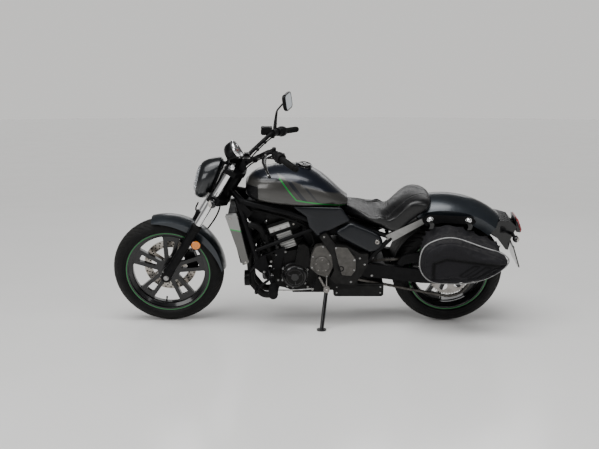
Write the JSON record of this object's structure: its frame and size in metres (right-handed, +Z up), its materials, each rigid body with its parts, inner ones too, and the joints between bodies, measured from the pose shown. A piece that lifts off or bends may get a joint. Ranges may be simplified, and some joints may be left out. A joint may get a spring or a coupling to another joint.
{
  "type": "cruiser motorcycle",
  "caption": "Cruiser motorcycle leaning on its side stand, with saddlebags, turning wheels, steering, side stand and a hinged filler cap.",
  "frame": {"origin": "middle of the leaned motorcycle's footprint box, on the ground", "axes": "+X from the front wheel to the rear wheel, +Y to the rider's right, +Z up; the motorcycle leans 12 degrees to its left on its side stand"},
  "size_m": [2.2806, 0.8536, 1.2995],
  "materials": {
    "tyre": "matte black rubber",
    "wheel_black": "gloss black",
    "frame_black": "satin black",
    "graphite": "dark graphite-blue metallic",
    "tank_paint": "dark metallic",
    "chrome": "polished",
    "steel": "ground steel",
    "alloy": "satin cast",
    "engine_dark": "dark satin",
    "black_plastic": "textured black",
    "gloss_plastic": "gloss black",
    "rubber": "matte",
    "vinyl": "black seat cover",
    "bag_cloth": "dark grey cloth",
    "lens": "clear",
    "red_lens": "red",
    "amber": "amber and clear",
    "plate_white": "blank white"
  },
  "bodies": {
    "frame": {"drive_chain": "steel", "crankcase": "engine_dark", "cylinders": "alloy", "engine_covers": "gloss_plastic", "gearbox_cover": "engine_dark", "sprocket_cover": "engine_dark", "upper_frame": "frame_black", "lower_frame": "frame_black", "rear_frame": "frame_black", "fender_struts": "alloy", "swingarm": "frame_black", "rear_caliper": "frame_black", "stand_bracket": "steel", "exhaust": "frame_black", "fuel_tank": "tank_paint", "tank_trim": "black_plastic", "rear_fender": "graphite", "seat": "vinyl", "tail_section": "black_plastic", "number_plate": "plate_white", "rear_lamps": "red_lens", "radiator": "black_plastic", "radiator_shrouds": "graphite", "side_panels": "black_plastic", "inner_boxes": "black_plastic", "inner_guard": "black_plastic", "saddlebag_left": "bag_cloth", "saddlebag_right": "bag_cloth", "rear_shock": "steel", "horn": "gloss_plastic", "foot_controls": "frame_black"},
    "steering": {"fork_tubes": "chrome", "fork_sliders": "frame_black", "fork_clamps": "frame_black", "handlebar": "frame_black", "grips": "rubber", "hand_controls": "gloss_plastic", "mirror": "gloss_plastic", "headlight": "graphite", "headlight_lens": "lens", "speedometer": "gloss_plastic", "front_fender": "graphite", "front_caliper": "frame_black", "front_signals": "amber", "cables": "rubber"},
    "front_wheel": {"front_rim": "wheel_black", "front_tyre": "tyre", "front_disc": "steel"},
    "rear_wheel": {"rear_rim": "wheel_black", "rear_tyre": "tyre", "rear_disc": "steel", "rear_sprocket": "steel"},
    "side_stand": {"side_stand_leg": "frame_black"},
    "filler_lid": {"filler_cap": "chrome"}
  },
  "joints": [
    {"name": "steering_hinge", "type": "hinge", "parent": "frame", "child": "steering", "pos_m": [-0.51375, 0.02286, 0.71209], "axis": [0.515, -0.1782, 0.8384], "range_deg": [-30, 30]},
    {"name": "front_wheel_spin", "type": "hinge", "parent": "steering", "child": "front_wheel", "pos_m": [-0.83025, 0.10896, 0.307], "axis": [0, 0.9781, 0.2079], "continuous": true},
    {"name": "rear_wheel_spin", "type": "hinge", "parent": "frame", "child": "rear_wheel", "pos_m": [0.74475, 0.10896, 0.30699], "axis": [0, 0.9781, 0.2079], "continuous": true},
    {"name": "side_stand_hinge", "type": "hinge", "parent": "frame", "child": "side_stand", "pos_m": [0.05975, -0.02615, 0.22118], "axis": [0, -0.9679, 0.2515], "range_deg": [0, 90]},
    {"name": "filler_cap_hinge", "type": "hinge", "parent": "frame", "child": "filler_lid", "pos_m": [-0.10431, -0.02128, 0.91975], "axis": [0, -0.9781, -0.2079], "range_deg": [0, 100]}
  ]
}
